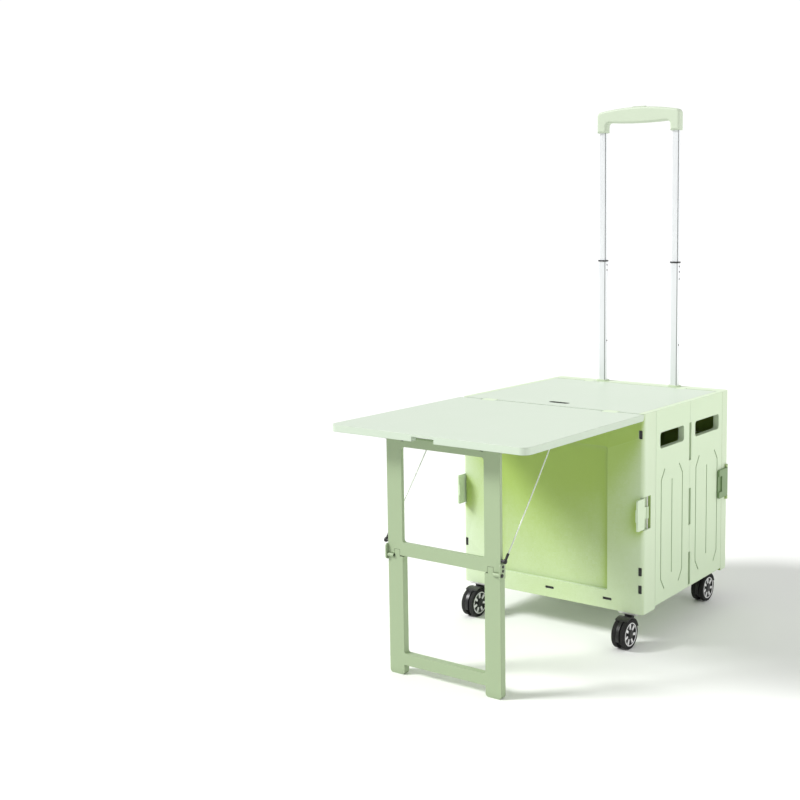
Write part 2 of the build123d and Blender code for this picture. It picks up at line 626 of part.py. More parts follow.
def leg_upper_frame():
    low, high = KNEE_HEIGHT + 1.5, LEG_HINGE_Z + LEG_UPPER_THICKNESS / 2
    back = LEG_FRONT_Y + LEG_UPPER_THICKNESS
    frame = block(-LEG_HALF, LEG_HALF, LEG_FRONT_Y, back, low, LEG_HINGE_Z)
    frame += rod_x(-LEG_HALF, LEG_HALF, LEG_HINGE_Y, LEG_HINGE_Z, LEG_UPPER_THICKNESS / 2)
    inside_low, inside_high = low + LEG_MID_BAR, high - LEG_TOP_BAR
    window = RectangleRounded(2 * LEG_INNER, inside_high - inside_low, 5)
    frame -= along_y(Pos(0, (inside_low + inside_high) / 2) * window, LEG_FRONT_Y, back)
    tongue_gap = block(TONGUE[0] - RUN_GAP, TONGUE[1] + RUN_GAP, LEG_FRONT_Y, back,
                       low, KNEE_HEIGHT + TONGUE_RISE + RUN_GAP)
    barrel_gap = rod_x(TONGUE[1] + RUN_GAP, LEG_HALF, KNEE_Y, KNEE_HEIGHT, KNEE_BARREL + KNUCKLE_GAP)
    pin_bore = rod_x(LEG_INNER - 7, LEG_HALF, LEG_HINGE_Y, LEG_HINGE_Z, LEG_PIN_RADIUS + RUN_CLEARANCE)
    ear_slot = block(LEG_INNER - 5 - RUN_GAP, LEG_INNER - 1.5 + RUN_GAP, LEG_FRONT_Y, back,
                     LEG_HINGE_Z - 5 - RUN_GAP, high)
    stud_hole = rod_x(LEG_HALF - 6, LEG_HALF, LEG_HINGE_Y, STAY_LOW_HEIGHT, 2)
    for cut in (tongue_gap, barrel_gap, pin_bore, ear_slot, stud_hole, *rivet_rods(LEG_HALF)):
        frame -= [cut, mirrored(cut)]
    return frame


def rivet_rods(x_end):
    return [rod_x(LEG_HALF - 6, x_end, LEG_HINGE_Y, KNEE_HEIGHT + rise, 1.3) for rise in (7, 14)]


def knee_brackets():
    """Steel cheeks on the upper frame's outer edges; the knee pin turns in their lower holes."""
    middle = KNEE_HEIGHT + 5.5
    outline = Pos(LEG_FRONT_Y + 2.5, middle) * RectangleRounded(15, 27, 4.5)
    cheek = along_x(outline, LEG_HALF, LEG_HALF + BRACKET_THICKNESS)
    outer = LEG_HALF + BRACKET_THICKNESS
    cheek -= rod_x(LEG_HALF, outer, KNEE_Y, KNEE_HEIGHT, KNEE_PIN_RADIUS + RUN_CLEARANCE)
    for hole in rivet_rods(outer):
        cheek -= hole
    return pair(cheek)


def knee_rivets():
    outer = LEG_HALF + BRACKET_THICKNESS
    heads = [rod_x(outer, outer + 0.8, LEG_HINGE_Y, KNEE_HEIGHT + rise, 2.4) for rise in (7, 14)]
    return pair(group(*[shank + head for shank, head in zip(rivet_rods(outer), heads)]))


def leg_lower_frame():
    """The lower leg: a frame with a tongue that steadies each knee and a barrel for each knee pin."""
    half = LEG_HALF - 0.4
    back = LEG_FRONT_Y + LEG_LOWER_THICKNESS
    top = KNEE_HEIGHT - 0.5
    frame = block(-half, half, LEG_FRONT_Y, back, 0, top)
    opening_top = top + 20
    opening = RectangleRounded(2 * LEG_INNER, opening_top - LEG_LOW_BAR[1], 5)
    frame -= along_y(Pos(0, (LEG_LOW_BAR[1] + opening_top) / 2) * opening, LEG_FRONT_Y, back)
    frame -= block(-LEG_INNER, LEG_INNER, LEG_FRONT_Y, back, 0, LEG_LOW_BAR[0])
    foot_edges = [e for e in frame.edges().filter_by(Axis.Y) if e.center().Z < 1]
    frame = fillet(foot_edges, 6)
    tongue = block(*TONGUE, LEG_FRONT_Y, back, top, KNEE_HEIGHT + TONGUE_RISE)
    barrel = rod_x(TONGUE[1] + 2 * RUN_GAP, half, KNEE_Y, KNEE_HEIGHT, KNEE_BARREL)
    bore = rod_x(TONGUE[1] + 2 * RUN_GAP, half, KNEE_Y, KNEE_HEIGHT, KNEE_PIN_RADIUS)
    for piece in (tongue, barrel):
        frame += [piece, mirrored(piece)]
    return frame - [bore, mirrored(bore)]


def knee_pins():
    outer = LEG_HALF + BRACKET_THICKNESS + RUN_GAP / 2
    pin = rod_x(TONGUE[1] + 2 * RUN_GAP, outer, KNEE_Y, KNEE_HEIGHT, KNEE_PIN_RADIUS)
    return pair(pin + rod_x(outer, outer + 1.2, KNEE_Y, KNEE_HEIGHT, 3.2))


# Stay cables

STAY_RUN = (STAY_ANCHOR_Y - LEG_HINGE_Y, STAY_ANCHOR_HEIGHT - STAY_LOW_HEIGHT)
STAY_LENGTH = hypot(*STAY_RUN)
STAY_TILT = degrees(atan2(*STAY_RUN))


def stay_rod(start, end, radius, x=STAY_X):
    """A round piece along the stay's line, between two distances from its lower stud."""
    middle = (start + end) / 2 / STAY_LENGTH
    place = Pos(x, LEG_HINGE_Y + STAY_RUN[0] * middle, STAY_LOW_HEIGHT + STAY_RUN[1] * middle)
    return place * Rot(-STAY_TILT, 0, 0) * Cylinder(radius, end - start)


def stay_ring(y, z):
    return rod_x(STAY_X - 1.5, STAY_X + 1.5, y, z, 4) - rod_x(STAY_X - 1.5, STAY_X + 1.5, y, z, 2)


def stay_low_ends():
    """The eye and crimped sleeve at the knee, on a stud in the upper leg."""
    sleeve = stay_rod(3, 4 + STAY_SLEEVE, 2.2)
    stud_bore = rod_x(STAY_X - 3, STAY_X + 3, LEG_HINGE_Y, STAY_LOW_HEIGHT, 2)
    eye = stay_ring(LEG_HINGE_Y, STAY_LOW_HEIGHT) + (sleeve - stud_bore)
    return pair(eye)


def stay_studs():
    shank = rod_x(LEG_HALF - 6, STAY_X + 1.6, LEG_HINGE_Y, STAY_LOW_HEIGHT, 2)
    collar = rod_x(LEG_HALF, STAY_X - 1.5, LEG_HINGE_Y, STAY_LOW_HEIGHT, 2.7)
    return pair(shank + collar + rod_x(STAY_X + 1.6, STAY_X + 2.6, LEG_HINGE_Y, STAY_LOW_HEIGHT, 2.7))


def anchor_pad():
    return block(STAY_X - 5, STAY_X + 9, STAY_ANCHOR_Y - 9, STAY_ANCHOR_Y + 9,
                 PANEL_UNDERSIDE, TABLE_HEIGHT - FLAP_WEB)


def stay_anchors():
    """The lug under the flap with the stud, eye and sleeve of the stay's upper end."""
    lug = block(STAY_X + 2.5, STAY_X + 6.5, STAY_ANCHOR_Y - 6, STAY_ANCHOR_Y + 6,
                STAY_ANCHOR_HEIGHT - 6, PANEL_UNDERSIDE)
    stud = rod_x(STAY_X - 3, STAY_X + 2.5, STAY_ANCHOR_Y, STAY_ANCHOR_HEIGHT, 2)
    head = rod_x(STAY_X - 4, STAY_X - 2.5, STAY_ANCHOR_Y, STAY_ANCHOR_HEIGHT, 3)
    eye = rod_x(STAY_X - 1.5, STAY_X + 1.5, STAY_ANCHOR_Y, STAY_ANCHOR_HEIGHT, 4)
    sleeve = stay_rod(STAY_LENGTH - 4 - STAY_SLEEVE, STAY_LENGTH, 2.2)
    return pair(lug + stud + head + eye + sleeve)


def stay_cables():
    return pair(stay_rod(STAY_SWING_GAP, STAY_LENGTH - 4 - STAY_SLEEVE, STAY_DIAMETER / 2))


# Telescopic handle

def outer_tubes():
    return pair(tube(OUTER_TUBE, OUTER_TUBE_WALL, OUTER_TUBE_BOTTOM, TABLE_HEIGHT, TUBE_X, TUBE_Y))


def tube_bushes():
    """Black flanged bushes on top of the rear shelf, that the middle tubes slide through."""
    rim = (OUTER_TUBE[0] + 4, OUTER_TUBE[1] + 3)
    ring = tube_core(rim, TABLE_HEIGHT, TABLE_HEIGHT + BUSH_HEIGHT, TUBE_X, TUBE_Y)
    return pair(ring - tube_core(OUTER_BORE, TABLE_HEIGHT, TABLE_HEIGHT + BUSH_HEIGHT, TUBE_X, TUBE_Y))


def stud(side, drop):
    """A detent stud set in the +X face of one middle tube, low enough to pass inside the outer tube."""
    face = side * TUBE_X + MIDDLE_TUBE[0] / 2
    return rod_x(face - TUBE_WALL, face + STUD_PROUD, TUBE_Y, MIDDLE_TUBE_TOP - drop, STUD_RADIUS)


def middle_tubes():
    tubes = []
    for side, drops in STUDS.items():
        body = tube(MIDDLE_TUBE, TUBE_WALL, MIDDLE_TUBE_BOTTOM, MIDDLE_TUBE_TOP, side * TUBE_X, TUBE_Y)
        tubes.append(body - [stud(side, drop) for drop in drops])
    return group(*tubes)


def middle_collars():
    rim = tuple(s + 2 * COLLAR_WALL for s in MIDDLE_TUBE)
    low = MIDDLE_TUBE_TOP - COLLAR_HEIGHT
    ring = tube_core(rim, low, MIDDLE_TUBE_TOP, TUBE_X, TUBE_Y)
    return pair(ring - tube_core(MIDDLE_TUBE, low, MIDDLE_TUBE_TOP, TUBE_X, TUBE_Y))


def tube_rivets():
    return group(*[stud(side, drop) for side, drops in STUDS.items() for drop in drops])


def inner_tubes():
    return pair(tube(INNER_TUBE, TUBE_WALL, INNER_TUBE_BOTTOM, GRIP_UNDERSIDE, TUBE_X, TUBE_Y))


def grip():
    """The arched cross handle with a socket for each tube and a well for the release button."""
    half = GRIP_WIDTH / 2
    inner = half - GRIP_SOCKET
    top = ThreePointArc((-half, GRIP_SIDE_TOP), (0, GRIP_TOP), (half, GRIP_SIDE_TOP))
    right = Polyline(
        (half, GRIP_SIDE_TOP), (half, GRIP_BOTTOM), (inner, GRIP_BOTTOM), (inner, GRIP_UNDERSIDE)
    )
    under = ThreePointArc((inner, GRIP_UNDERSIDE), (0, GRIP_UNDERSIDE - GRIP_BELLY), (-inner, GRIP_UNDERSIDE))
    left = Polyline(
        (-inner, GRIP_UNDERSIDE), (-inner, GRIP_BOTTOM), (-half, GRIP_BOTTOM), (-half, GRIP_SIDE_TOP)
    )
    face = make_face([top, right, under, left])
    face = fillet([v for v in face.vertices() if v.Y > GRIP_SIDE_TOP - 1], 10)
    face = fillet([v for v in face.vertices() if abs(v.Y - GRIP_UNDERSIDE) < 0.1], 8)
    body = along_y(face, TUBE_Y - GRIP_DEPTH / 2, TUBE_Y + GRIP_DEPTH / 2)
    front_back = [e for e in body.edges() if abs(abs(e.center().Y - TUBE_Y) - GRIP_DEPTH / 2) < 0.1]
    body = fillet(front_back, GRIP_ROUND)
    for x in (TUBE_X, -TUBE_X):
        body -= tube_core(INNER_TUBE, GRIP_BOTTOM, GRIP_UNDERSIDE, x, TUBE_Y)
    well = tube_core((BUTTON[0] + 2 * SLIDE_GAP, BUTTON[1] + 2 * SLIDE_GAP), button_bottom() - SPRING_HEIGHT,
                     GRIP_TOP, 0, TUBE_Y)
    return body - well


def button_bottom():
    return GRIP_TOP + BUTTON_RISE - BUTTON_BODY


def grip_button():
    body = tube_core(BUTTON, button_bottom(), GRIP_TOP + BUTTON_RISE, 0, TUBE_Y)
    return fillet(body.edges().group_by(Axis.Z)[-1], 1.2)


def button_spring():
    low = button_bottom() - SPRING_HEIGHT
    return rod_z(low, button_bottom(), 0, TUBE_Y, 3.5) - rod_z(low, button_bottom(), 0, TUBE_Y, 2.5)


# Catches and latches

def flap_catch():
    """A lever in the corner post: a tab with a nib that holds the closed flap, on a short arm and barrel."""
    x, y = CATCH_PIN
    low, high = CATCH_BOTTOM + 2, CATCH_TOP - 2
    arm_low = (low + high - CATCH_ARM_HEIGHT) / 2
    arm_high = arm_low + CATCH_ARM_HEIGHT
    half = CATCH_THICKNESS / 2
    tab = block(x - half, x + half, -CATCH_REACH, CATCH_TAB_END, low, high)
    front = [e for e in tab.edges().filter_by(Axis.X) if e.center().Y < -CATCH_REACH + 0.1]
    lever = fillet(front, 3)
    lever += block(x - half - CATCH_NIB, x, -CATCH_REACH, -CATCH_REACH + 4, arm_low, arm_high)
    lever += block(x - half, x, CATCH_TAB_END, y, arm_low, arm_high)
    lever += rod_z(arm_low, arm_high, x, y, CATCH_BARREL)
    return lever - rod_z(arm_low, arm_high, x, y, SMALL_PIN_RADIUS + RUN_CLEARANCE)


def catch_pins():
    return pair(rod_z(CATCH_BOTTOM - 6, CATCH_TOP + 6, *CATCH_PIN, SMALL_PIN_RADIUS))


def rear_latch():
    """A plate that swings off the side wall; its hook locks the wall's rear half to the corner post."""
    x, y = LATCH_PIN
    front = REAR_SEAM - LATCH_FRONT_OVERLAP
    middle = (LATCH_BOTTOM + LATCH_TOP) / 2
    outline = Pos((front + y) / 2, middle) * Rectangle(y - front, LATCH_TOP - LATCH_BOTTOM)
    outline = fillet([v for v in outline.vertices() if v.X < y - 1], 4)
    plate = along_x(outline, LATCH_X, LATCH_X + LATCH_THICKNESS)
    plate += rod_z(LATCH_BOTTOM, LATCH_TOP, x, y, LATCH_THICKNESS / 2)
    a, b = latch_hook_span()
    plate += block(HALF - 2.5, LATCH_X, a, b, middle - 11, middle + 11)
    outer = LATCH_X + LATCH_THICKNESS
    plate -= block(outer - LATCH_WELL_DEPTH, outer, front, front + 13, middle - 16, middle + 16)
    return plate - rod_z(LATCH_BOTTOM, LATCH_TOP, x, y, SMALL_PIN_RADIUS + RUN_CLEARANCE)


def latch_pins():
    return pair(rod_z(LATCH_BOTTOM - 7, LATCH_TOP + 7, *LATCH_PIN, SMALL_PIN_RADIUS))


# Casters

def caster_plates():
    """Steel plates under the corners, each with the kingpin that its caster turns on."""
    plates = []
    low = CRATE_BOTTOM - PLATE_THICKNESS
    for place in CASTERS.values():
        x, y = plate_origin(place)
        plate = Pos(x, y, CRATE_BOTTOM - PLATE_THICKNESS / 2) * Box(*PLATE_SIZE, PLATE_THICKNESS)
        plate = fillet(plate.edges().filter_by(Axis.Z), 3)
        plate += rod_z(low - 10, low, *place, KINGPIN_RADIUS)
        for sx, sy in screw_places(place):
            plate -= rod_z(low, CRATE_BOTTOM, sx, sy, SCREW_RADIUS)
        plates.append(plate)
    return group(*plates)


def caster_screws():
    low = CRATE_BOTTOM - PLATE_THICKNESS
    return group(*[rod_z(low, CRATE_BOTTOM + 5, x, y, SCREW_RADIUS) + rod_z(low - 1.2, low, x, y, 3)
                   for place in CASTERS.values() for x, y in screw_places(place)])


def caster_housing(place):
    """The black body between the two wheels, with its neck and the hood over them."""
    x, y = place
    axle_y = y - CASTER_TRAIL
    top = CRATE_BOTTOM - PLATE_THICKNESS - 0.3
    hood_inner = WHEEL_RADIUS + FENDER_GAP
    hood_half = WHEEL_INNER_X + WHEEL_WIDTH - 1
    hood = rod_x(x - hood_half, x + hood_half, axle_y, WHEEL_RADIUS, hood_inner + FENDER_WALL)
    hood -= rod_x(x - hood_half, x + hood_half, axle_y, WHEEL_RADIUS, hood_inner)
    hood &= block(x - 20, x + 20, axle_y - 12, axle_y + 40, WHEEL_RADIUS + 8, top)
    web = rod_x(x - HOUSING_WEB / 2, x + HOUSING_WEB / 2, axle_y, WHEEL_RADIUS, hood_inner)
    web &= block(x - 20, x + 20, axle_y - 40, axle_y + 40, WHEEL_RADIUS - 9, top)
    neck = rod_z(WHEEL_RADIUS + 16, top, x, y, 9)
    clear = rod_x(x - 20, x - HOUSING_WEB / 2, axle_y, WHEEL_RADIUS, hood_inner)
    clear += rod_x(x + HOUSING_WEB / 2, x + 20, axle_y, WHEEL_RADIUS, hood_inner)
    body = hood + web + (neck - clear)
    body -= rod_z(CRATE_BOTTOM - PLATE_THICKNESS - 10.5, top, x, y, KINGPIN_RADIUS + RUN_CLEARANCE)
    return body - rod_x(x - 5, x + 5, axle_y, WHEEL_RADIUS, AXLE_RADIUS)


def caster_axle(place):
    x, y = place
    reach = WHEEL_INNER_X + WHEEL_WIDTH - 2.5
    return rod_x(x - reach, x + reach, y - CASTER_TRAIL, WHEEL_RADIUS, AXLE_RADIUS)


def wheel_side(place, side, inner, outer, near, far):
    """A ring of one wheel of a caster's pair, between two distances from the pair's middle."""
    x, y = place
    a, b = sorted((x + side * near, x + side * far))
    ring = rod_x(a, b, y - CASTER_TRAIL, WHEEL_RADIUS, outer)
    return ring - rod_x(a, b, y - CASTER_TRAIL, WHEEL_RADIUS, inner) if inner else ring


def caster_hubs(place):
    """Both wheels' hubs: a dished disc with a raised cap, bored for the axle."""
    hubs = []
    rim = WHEEL_RADIUS - TYRE_THICKNESS
    far = WHEEL_INNER_X + WHEEL_WIDTH
    for side in (-1, 1):
        hub = wheel_side(place, side, 0, rim, WHEEL_INNER_X, far - 1)
        hub -= wheel_side(place, side, 9, rim - 3, far - 3, far - 1)
        hub += wheel_side(place, side, 0, 6, far - 1, far)
        hub -= wheel_side(place, side, 0, AXLE_RADIUS + RUN_CLEARANCE, WHEEL_INNER_X, far - 2)
        hubs.append(hub)
    return group(*hubs)


def caster_tyres(place):
    rim = WHEEL_RADIUS - TYRE_THICKNESS
    tyres = []
    for side in (-1, 1):
        ring = wheel_side(place, side, rim, WHEEL_RADIUS, WHEEL_INNER_X, WHEEL_INNER_X + WHEEL_WIDTH - 0.6)
        circles = ring.edges().filter_by(GeomType.CIRCLE)
        shoulders = [e for e in circles if abs(e.radius - WHEEL_RADIUS) < 0.01]
        tyres.append(fillet(shoulders, 1.8))
    return group(*tyres)


def all_nodes():
    nodes = {
        "front_frame": front_frame(), "slot_inserts": slot_inserts(), "rear_frame": rear_frame(),
        "side_right_front": side_front(), "side_left_front": mirrored(side_front()),
        "side_right_rear": side_rear(), "side_left_rear": mirrored(side_rear()),
        "mid_hinge_pins": mid_hinge_pins(), "corner_hinge_pins": corner_hinge_pins(),
        "floor_panel": floor_panel(), "floor_hinge_pins": floor_hinge_pins(),
        "lid_panel": lid_panel(), "lid_finger_cup": lid_finger_cup(), "lid_hinge_pins": lid_hinge_pins(),
        "table_flap": table_flap(), "flap_hinge_pins": flap_hinge_pins(),
        "leg_hinge_brackets": leg_hinge_brackets(), "leg_hinge_pins": leg_hinge_pins(),
        "leg_upper_frame": leg_upper_frame(), "knee_brackets": knee_brackets(), "knee_rivets": knee_rivets(),
        "leg_lower_frame": leg_lower_frame(), "knee_pins": knee_pins(),
        "stay_studs": stay_studs(), "stay_low_ends": stay_low_ends(), "stay_anchors": stay_anchors(),
        "stay_cables": stay_cables(),
        "outer_tubes": outer_tubes(), "tube_bushes": tube_bushes(), "middle_tubes": middle_tubes(),
        "middle_collars": middle_collars(), "tube_rivets": tube_rivets(), "inner_tubes": inner_tubes(),
        "grip": grip(), "grip_button": grip_button(), "button_spring": button_spring(),
        "flap_catch_right": flap_catch(), "flap_catch_left": mirrored(flap_catch()),
        "catch_pins": catch_pins(),
        "rear_latch_right": rear_latch(), "rear_latch_left": mirrored(rear_latch()),
        "latch_pins": latch_pins(),
        "caster_plates": caster_plates(), "caster_screws": caster_screws(),
    }
    for name, place in CASTERS.items():
        nodes[f"{name}_housing"] = caster_housing(place)
        nodes[f"{name}_axle"] = caster_axle(place)
        nodes[f"{name}_hubs"] = caster_hubs(place)
        nodes[f"{name}_tyres"] = caster_tyres(place)
    return nodes


os.makedirs("parts", exist_ok=True)
for name, shape in all_nodes().items():
    export_step(Pos(0, -Y_MID, 0) * shape, f"parts/{name}.step")
print("stay length", round(STAY_LENGTH, 1), "y shift", -Y_MID)
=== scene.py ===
import bpy
import bmesh
import json
from math import cos, pi, radians, sin
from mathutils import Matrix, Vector


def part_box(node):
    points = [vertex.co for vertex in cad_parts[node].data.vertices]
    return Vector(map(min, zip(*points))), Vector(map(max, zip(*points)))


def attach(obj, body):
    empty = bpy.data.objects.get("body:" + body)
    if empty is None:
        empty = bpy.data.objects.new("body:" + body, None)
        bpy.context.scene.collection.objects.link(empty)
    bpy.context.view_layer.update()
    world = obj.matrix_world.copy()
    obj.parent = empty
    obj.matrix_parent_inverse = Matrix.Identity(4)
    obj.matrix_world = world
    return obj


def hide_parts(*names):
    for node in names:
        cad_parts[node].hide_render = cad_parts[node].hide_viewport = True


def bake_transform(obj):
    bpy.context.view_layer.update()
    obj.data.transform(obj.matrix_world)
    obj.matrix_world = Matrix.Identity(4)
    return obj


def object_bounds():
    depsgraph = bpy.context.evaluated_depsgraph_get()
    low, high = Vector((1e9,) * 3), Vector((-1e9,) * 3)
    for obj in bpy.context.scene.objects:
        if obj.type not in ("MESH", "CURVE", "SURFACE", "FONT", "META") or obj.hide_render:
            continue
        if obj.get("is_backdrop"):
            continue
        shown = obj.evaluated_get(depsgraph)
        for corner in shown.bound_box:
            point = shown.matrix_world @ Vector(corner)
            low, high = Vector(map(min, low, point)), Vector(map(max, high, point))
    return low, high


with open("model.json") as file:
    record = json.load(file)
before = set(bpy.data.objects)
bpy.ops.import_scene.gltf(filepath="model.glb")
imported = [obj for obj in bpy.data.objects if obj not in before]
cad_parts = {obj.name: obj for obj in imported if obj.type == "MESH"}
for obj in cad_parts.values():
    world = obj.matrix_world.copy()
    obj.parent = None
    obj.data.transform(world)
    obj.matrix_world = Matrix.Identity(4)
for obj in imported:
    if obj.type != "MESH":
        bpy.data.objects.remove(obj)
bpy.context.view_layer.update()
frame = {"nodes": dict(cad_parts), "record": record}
nodes = frame["nodes"]


# a socket with the usual operators, so shader maths reads as Python
class Value:
    def __init__(self, shop, socket):
        self.shop, self.socket = shop, socket

    def mathNode(self, operation, *others):
        return self.shop.node("Math", {"operation": operation}, self, *others)

    def __add__(self, other):
        return self.mathNode("ADD", other)

    def __sub__(self, other):
        return self.mathNode("SUBTRACT", other)

    def __rsub__(self, other):
        return self.shop.node("Math", {"operation": "SUBTRACT"}, other, self)

    def sign(self):
        return self.mathNode("SIGN")

    def __mul__(self, other):
        return self.mathNode("MULTIPLY", other)

    def clamped(self):
        return self.shop.node("Math", {"operation": "ADD", "use_clamp": True}, self, 0.0)

    __radd__, __rmul__ = __add__, __mul__


class MaterialShop:
    def __init__(self, name):
        self.material = bpy.data.materials.new(name)
        self.material.use_nodes = True
        self.tree = self.material.node_tree
        self.shader = self.tree.nodes["Principled BSDF"]

    def put(self, target, value):
        if isinstance(value, Value):
            self.tree.links.new(value.socket, target)
        elif hasattr(target.default_value, "__len__") and not hasattr(value, "__len__"):
            target.default_value = [value] * len(target.default_value)
        else:
            target.default_value = value

    def node(self, kind, settings=None, *inputs, out=0, **named):
        made = self.tree.nodes.new("ShaderNode" + kind)
        for key, value in (settings or {}).items():
            setattr(made, key, value)
        for socket, value in zip(made.inputs, inputs):
            self.put(socket, value)
        for key, value in named.items():
            self.put(made.inputs[key.replace("_", " ")], value)
        return Value(self, made.outputs[out])

    def place(self):
        return self.node("TexCoord", out=3)

    def noise(self, scale, detail=2.0, stretch=(1, 1, 1)):
        spot = self.node("Mapping", None, Vector=self.place(), Scale=stretch)
        return self.node("TexNoise", None, Vector=spot, Scale=scale, Detail=detail)

    def blendColours(self, factor, first, second):
        mixer = self.tree.nodes.new("ShaderNodeMix")
        mixer.data_type = "RGBA"
        for index, value in ((0, factor), (6, first), (7, second)):
            self.put(mixer.inputs[index], value)
        return Value(self, mixer.outputs[2])

    def bumped(self, height, strength, distance, roundEdge):
        edge = self.node("Bevel", {"samples": 6}, Radius=roundEdge)
        return self.node("Bump", None, Strength=strength, Distance=distance, Height=height, Normal=edge)

    def paintedShadeBeneathCover(self):
        # painted shade: how far an upright, front-facing face lies beneath a cover, found by occlusion
        tilt = self.node("CombineXYZ", None, *flapShadePaint["look"])
        sky = self.node("AmbientOcclusion", {"samples": flapShadePaint["samples"]}, Distance=flapShadePaint["reach"],
                        Normal=tilt, out=1)
        forward = self.node("SeparateXYZ", None, self.node("NewGeometry", out=1), out=1) * -1.0
        upright = ((forward - flapShadePaint["frontFrom"]) * flapShadePaint["frontSlope"]).clamped()
        return ((flapShadePaint["start"] - sky) * flapShadePaint["slope"]).clamped() * upright

    def finish(self, **sockets):
        for key, value in sockets.items():
            self.put(self.shader.inputs[key.replace("_", " ")], value)
        return self.material


# painted shade: an olive cast, as of green light gathered in shade, painted into the colour of an upright
# face that stands beneath a cover such as the open flap
flapShadePaint = {"reach": 0.6, "start": 0.56, "slope": 6.0, "colour": (0.35, 0.49, 0.10), "samples": 32,
         "look": (0.0, -0.7, 0.7), "frontFrom": 0.4, "frontSlope": 4.0}


def tinted(colour, factor):
    return (*[min(1.0, c * factor) for c in colour], 1)


# moulded plastic: fine leathery grain, faint flow marks, paler worn edges, painted shade that darkens the
# corners and a painted olive shade where the piece stands beneath a cover
def mouldedPlastic(name, colour, roughness=0.42, grain=0.25, roundEdge=0.0012, withPaintedCoverShade=False):
    shop = MaterialShop(name)
    flow = shop.noise(3.2, 3.0, (1, 1, 0.35))
    cloud = shop.noise(14.0, 2.0)
    fine = shop.noise(1500.0, 2.0)
    pores = shop.node("TexVoronoi", None, Vector=shop.place(), Scale=900.0)
    closeUp = shop.node("AmbientOcclusion", {"samples": 6}, Distance=0.012, out=1)
    edge = shop.node("NewGeometry", out=7)
    worn = ((edge - 0.52) * 6.0).clamped() * 0.10
    tone = (flow * 0.6 + cloud * 0.4).clamped()
    base = shop.blendColours(tone, tinted(colour, 0.965), tinted(colour, 1.03))
    if withPaintedCoverShade:
        # painted shade: olive mixed into the colour where the face stands beneath a cover
        base = shop.blendColours(shop.paintedShadeBeneathCover(), base, (*flapShadePaint["colour"], 1))
    # painted shade: the colour darkens where close surfaces crowd in, in corners and creases
    paintedCornerShade = shop.blendColours(((1 - closeUp) * 0.55).clamped(), base, tinted(colour, 0.55))
    shade = shop.blendColours(worn, paintedCornerShade, tinted(colour, 1.25))
    relief = fine * 0.5 + pores * 0.5
    return shop.finish(Base_Color=shade, Roughness=(cloud * 0.10 + (roughness - 0.05)),
                       Normal=shop.bumped(relief, grain, 0.00008, roundEdge), Specular_IOR_Level=0.42)


# where the painted shade line runs down one rounded corner of the tube
tubePaintedShadeLine = {"tubeX": 0.086, "from": 0.0060, "to": 0.0078, "slope": 3000.0}


# drawn aluminium tube: fine lines along the tube, a soft sheen and a painted dark shade line down one
# rounded corner
def drawnAluminium(name, colour):
    shop = MaterialShop(name)
    x = Value(shop, shop.tree.nodes.new("ShaderNodeSeparateXYZ").outputs[0])
    shop.tree.links.new(shop.place().socket, x.socket.node.inputs[0])
    across = x - x.sign() * tubePaintedShadeLine["tubeX"]
    corner = ((across - tubePaintedShadeLine["from"]) * tubePaintedShadeLine["slope"]).clamped()
    corner = corner * ((tubePaintedShadeLine["to"] - across) * tubePaintedShadeLine["slope"]).clamped()
    lines = shop.noise(900.0, 2.0, (1, 1, 0.02))
    haze = shop.noise(40.0, 2.0)
    base = shop.blendColours(lines, tinted(colour, 0.93), tinted(colour, 1.05))
    # painted shade: a dark line mixed into the colour down one rounded corner
    base = shop.blendColours(corner * 0.85, base, tinted(colour, 0.18))
    return shop.finish(Base_Color=base, Metallic=0.55, Roughness=lines * 0.12 + haze * 0.08 + 0.26,
                       Normal=shop.bumped(lines, 0.12, 0.00003, 0.0004))


# zinc plate: spangled tone and small scratches
def zincSteel(name, colour):
    shop = MaterialShop(name)
    spangle = shop.node("TexVoronoi", None, Vector=shop.place(), Scale=260.0)
    scratch = shop.noise(500.0, 3.0, (1, 0.08, 1))
    tone = (spangle * 0.6 + scratch * 0.3).clamped()
    base = shop.blendColours(tone, tinted(colour, 0.82), tinted(colour, 1.08))
    return shop.finish(Base_Color=base, Metallic=0.9, Roughness=scratch * 0.2 + 0.24,
                       Normal=shop.bumped(scratch, 0.15, 0.00004, 0.0003))


# black nylon and rubber: matt, slightly dusty, with a coarser grain
def darkPolymer(name, colour, roughness, grainScale, grain):
    shop = MaterialShop(name)
    dust = shop.noise(55.0, 4.0)
    fine = shop.noise(grainScale, 3.0)
    dusted = ((dust - 0.48) * 1.4).clamped() * 0.35
    base = shop.blendColours(dusted, tinted(colour, 1.0), (0.10, 0.10, 0.095, 1))
    return shop.finish(Base_Color=base, Roughness=dust * 0.18 + (roughness - 0.09),
                       Normal=shop.bumped(fine, grain, 0.0001, 0.0005))


# coated wire: the twist of the strands shows through the sleeve
def coatedWire(name, colour, twist):
    shop = MaterialShop(name)
    strands = shop.node("TexWave", {"bands_direction": "DIAGONAL"}, Vector=shop.place(), Scale=twist)
    base = shop.blendColours(strands, tinted(colour, 0.86), tinted(colour, 1.06))
    return shop.finish(Base_Color=base, Roughness=strands * 0.15 + 0.3, Metallic=0.25,
                       Normal=shop.bumped(strands, 0.35, 0.00015, 0.0002))
